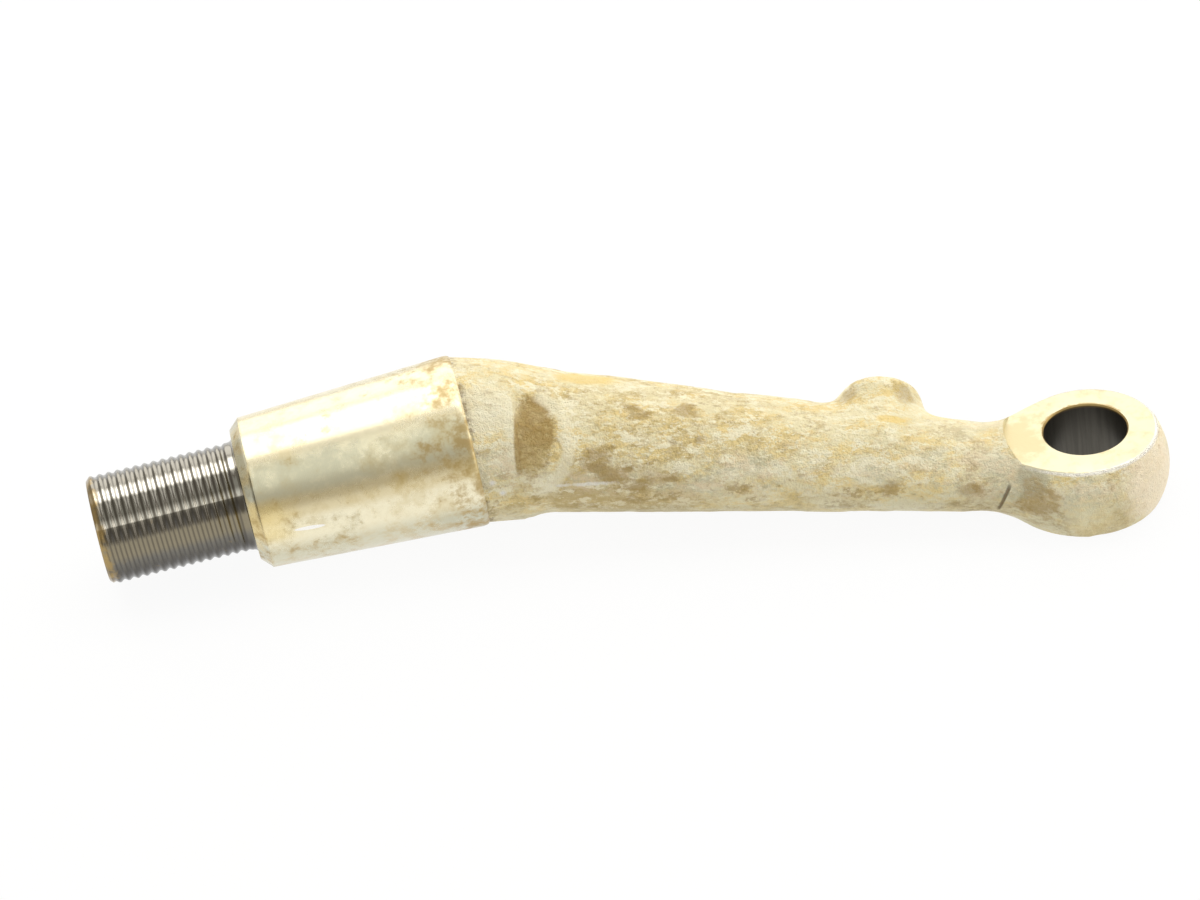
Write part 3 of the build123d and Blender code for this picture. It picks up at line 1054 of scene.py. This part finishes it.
class ARM_OT_skin(Operator):
    """Build the arm's skin, cut its machined faces and bore, and lay its finishes"""

    bl_idname = "arm.skin"
    bl_label = "Arm skin"

    def execute(self, context):
        scene = context.scene
        sizes = scene.arm_sizes
        low = sizes.taper_length + THREAD_START * sizes.pitch
        high = sizes.taper_length + sizes.stud_length
        forging = weathered(sizes, scene.arm_marks, *forged_rows(sizes))
        tubes = (end_rows(sizes, high), np.concatenate([shank_rows(sizes, low), forging]))
        surfaces = [helix_strip(sizes, low, high, THREAD_SAMPLES)]
        surfaces += [(rows.reshape(-1, 3), tube_quads(*rows.shape[:2])) for rows in tubes]
        arm = make_mesh(NODE + "_skin", *joined(surfaces), 1e-6)
        self.machine(sizes, arm)
        self.clamp(arm)
        self.finish(scene.arm_finish, sizes, arm)
        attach(arm, "root")
        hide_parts(NODE)
        return {"FINISHED"}

    def machine(self, sizes, arm):
        """Faces the eye above and below and bores it, with a chamfer at both mouths."""
        beyond = 3 * sizes.ball_radius
        facings = ((sizes.upper_cut, eye_half, beyond), (sizes.lower_cut, -beyond, -eye_half))
        for radius, near, far in facings:
            profile = [(0, near), (radius, near), (radius, far), (0, far), (0, near)]
            cut(arm, profile, FACING_COLUMNS)
        chamfer_start = eye_half - sizes.bore_chamfer
        mouth = bore_radius + sizes.bore_chamfer
        lower = [(0, -beyond), (mouth, -beyond), (mouth, -eye_half), (bore_radius, -chamfer_start)]
        upper = [(radius, -height) for radius, height in reversed(lower)]
        cut(arm, lower + upper + lower[:1], BORE_COLUMNS)

    def clamp(self, arm):
        """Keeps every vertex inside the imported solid's box."""
        points = np.empty(len(arm.data.vertices) * 3)
        arm.data.vertices.foreach_get("co", points)
        arm.data.vertices.foreach_set("co", np.clip(points.reshape(-1, 3), cad_low, cad_high).ravel())

    def finish(self, finish, sizes, arm):
        """Gives each face the finish of its zone, and shades all but the cut faces smooth."""
        mesh = arm.data
        mesh.materials.clear()
        for material in FINISHES:
            mesh.materials.append(material(finish, sizes))
        centre, normal = np.empty((2, len(mesh.polygons), 3))
        mesh.polygons.foreach_get("center", centre.reshape(-1))
        mesh.polygons.foreach_get("normal", normal.reshape(-1))
        flat = (np.abs(np.abs(centre[:, 2]) - eye_half) < 0.01 * MM) & (np.abs(normal[:, 2]) > 0.99)
        mesh.polygons.foreach_set("material_index", self.zones(sizes, centre, flat))
        mesh.polygons.foreach_set("use_smooth", ~flat)
        mesh.set_sharp_from_angle(angle=math.radians(SHARP_ANGLE))
        mesh.update()

    def zones(self, sizes, centre, flat):
        """Zone of each face, by its run along the shank, its height in the eye and its way from the bore."""
        run = (centre - gauge_point) @ shank_out
        from_bore = np.hypot(centre[:, 0], centre[:, 1])
        at_top = centre[:, 2] > eye_half - RIM_DEPTH
        rim = at_top & (from_bore > bore_radius + MM) & (centre[:, 0] > RIM_START)
        zone = np.full(len(centre), FORGED)
        zone[run > -0.1 * MM] = TURNED
        zone[run > sizes.taper_length + 0.2 * sizes.stud_fillet] = THREADED
        zone[rim | flat & (centre[:, 0] > -sizes.lower_cut)] = FACED
        zone[from_bore < bore_radius + 0.9 * sizes.bore_chamfer] = BORED
        return zone


class Lamp(NamedTuple):
    """A soft panel: where it stands, its width and depth in metres, and its colour."""

    place: tuple
    width: float
    depth: float
    tint: tuple


# The stage's panels, each with the name of its brightness
LAMPS = {
    "overhead": Lamp((-0.1, 0.17, 0.62), 1.3, 0.5, (1.0, 1.0, 1.0)),
    "behind": Lamp((-0.1, 1.0, 0.5), 2.4, 0.8, (1.0, 0.98, 0.94)),
    "front": Lamp((-0.1, -1.0, 1.4), 2.0, 1.2, (0.93, 1.0, 1.0)),
    "side": Lamp((1.1, 0.05, 0.35), 1.2, 0.7, (1.0, 0.97, 0.9)),
}
ARM_MIDDLE = Vector((-0.1, -0.01, 0.0))
AROUND_TINT = (1.0, 0.94, 0.82, 1.0)
WHITE = (1.0, 1.0, 1.0, 1.0)
FLOOR_GREY = (0.9, 0.9, 0.9, 1.0)
FLOOR_REACH = 4.0


class ARM_OT_stage(Operator):
    """Set the camera, the lamps, the world and the floor"""

    bl_idname = "arm.stage"
    bl_label = "Stage"

    def execute(self, context):
        scene = context.scene
        scene.view_settings.view_transform = "Standard"
        self.camera(scene, scene.arm_stage)
        self.floor()
        self.panels(scene, scene.arm_stage)
        self.world(scene, scene.arm_stage)
        return {"FINISHED"}

    def camera(self, scene, stage):
        """Places the camera so that the middle of the bore falls on its pixel."""
        elevation, azimuth, roll = stage.elevation, stage.azimuth, stage.roll
        level = math.cos(elevation)
        forward = np.array((math.sin(azimuth) * level, math.cos(azimuth) * level, -math.sin(elevation)))
        right = np.array((math.cos(azimuth), -math.sin(azimuth), 0.0))
        up = np.cross(right, forward)
        turned_right = math.cos(roll) * right + math.sin(roll) * up
        turned_up = math.cos(roll) * up - math.sin(roll) * right
        across = (stage.eye_x - PHOTO_WIDTH / 2) / stage.focal * stage.distance
        down = (stage.eye_y - PHOTO_HEIGHT / 2) / stage.focal * stage.distance
        place = -(across * turned_right - down * turned_up + stage.distance * forward)
        data = bpy.data.cameras.new("camera")
        data.sensor_width = SENSOR_WIDTH
        data.lens = stage.focal / PHOTO_WIDTH * SENSOR_WIDTH
        data.clip_start, data.clip_end = 0.01, 50.0
        camera = bpy.data.objects.new("camera", data)
        matrix = np.eye(4)
        matrix[:3, :4] = np.stack([turned_right, turned_up, -forward, place], axis=1)
        camera.matrix_world = Matrix(matrix.tolist())
        scene.collection.objects.link(camera)
        scene.camera = camera

    def floor(self):
        """A white floor under the arm that keeps a faint shadow: it glows for the camera and for gloss."""
        corners = np.array([(-1.0, -1.0, 0.0), (1.0, -1.0, 0.0), (1.0, 1.0, 0.0), (-1.0, 1.0, 0.0)])
        corners = corners * FLOOR_REACH + np.array((0.0, 0.0, cad_low[2]))
        floor = make_mesh("floor", corners, np.array([[0, 1, 2, 3]]))
        paint = Paint("floor_white")
        paint.set(Base_Color=FLOOR_GREY, Roughness=0.6)
        rays = paint.node("ShaderNodeLightPath")
        seen = paint.value(rays, "Is Camera Ray") * 0.93 + paint.value(rays, "Is Glossy Ray")
        glow = paint.node("ShaderNodeEmission", {}, {"Color": WHITE, "Strength": 1.0})
        paint.show("Material Output", seen, paint.shader, glow)
        floor.data.materials.append(paint.material)
        if floor.data.polygons[0].normal.z < 0:
            floor.data.flip_normals()
        floor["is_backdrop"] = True

    def panels(self, scene, stage):
        """Soft panels that face the arm, each as bright as its property says."""
        for name, lamp in LAMPS.items():
            data = bpy.data.lights.new(name, "AREA")
            data.shape = "RECTANGLE"
            data.size, data.size_y = lamp.width, lamp.depth
            data.energy = getattr(stage, name) * math.pi * lamp.width * lamp.depth
            data.color = lamp.tint
            panel = bpy.data.objects.new(name, data)
            panel.location = lamp.place
            panel.rotation_euler = (ARM_MIDDLE - Vector(lamp.place)).to_track_quat("-Z", "Y").to_euler()
            scene.collection.objects.link(panel)

    def world(self, scene, stage):
        """A white world for the camera and a grey one for the arm."""
        world = bpy.data.worlds.new("world")
        world.use_nodes = True
        scene.world = world
        nodes = Nodes(world.node_tree)
        shade = nodes.node("ShaderNodeBackground", {}, {"Color": AROUND_TINT, "Strength": stage.around})
        white = nodes.node("ShaderNodeBackground", {}, {"Color": WHITE, "Strength": 1.0})
        rays = nodes.node("ShaderNodeLightPath")
        nodes.show("World Output", rays.outputs["Is Camera Ray"], shade, white)


class ARM_PT_sidebar(Panel):
    """Steering arm"""

    bl_idname = "ARM_PT_sidebar"
    bl_label = "Steering arm"
    bl_space_type = "VIEW_3D"
    bl_region_type = "UI"
    bl_category = "Steering arm"

    def draw(self, context):
        for operator in OPERATORS:
            self.layout.operator(operator.bl_idname)
        for name, kind in GROUPS.items():
            for key in kind.__annotations__:
                self.layout.prop(getattr(context.scene, name), key)


GROUPS = {"arm_sizes": ArmSizes, "arm_marks": ArmMarks, "arm_finish": ArmFinish, "arm_stage": ArmStage}
OPERATORS = (ARM_OT_skin, ARM_OT_stage)


def register():
    """Registers the property groups, the operators and the panel."""
    for kind in (*GROUPS.values(), *OPERATORS, ARM_PT_sidebar):
        bpy.utils.register_class(kind)
    for name, kind in GROUPS.items():
        setattr(bpy.types.Scene, name, PointerProperty(type=kind))


def unregister():
    """Takes back what register did."""
    for name in GROUPS:
        delattr(bpy.types.Scene, name)
    for kind in reversed((*GROUPS.values(), *OPERATORS, ARM_PT_sidebar)):
        bpy.utils.unregister_class(kind)


def main():
    """Builds everything in order."""
    register()
    bpy.ops.arm.skin()
    bpy.ops.arm.stage()
    bpy.context.view_layer.update()


if __name__ == "__main__":
    main()
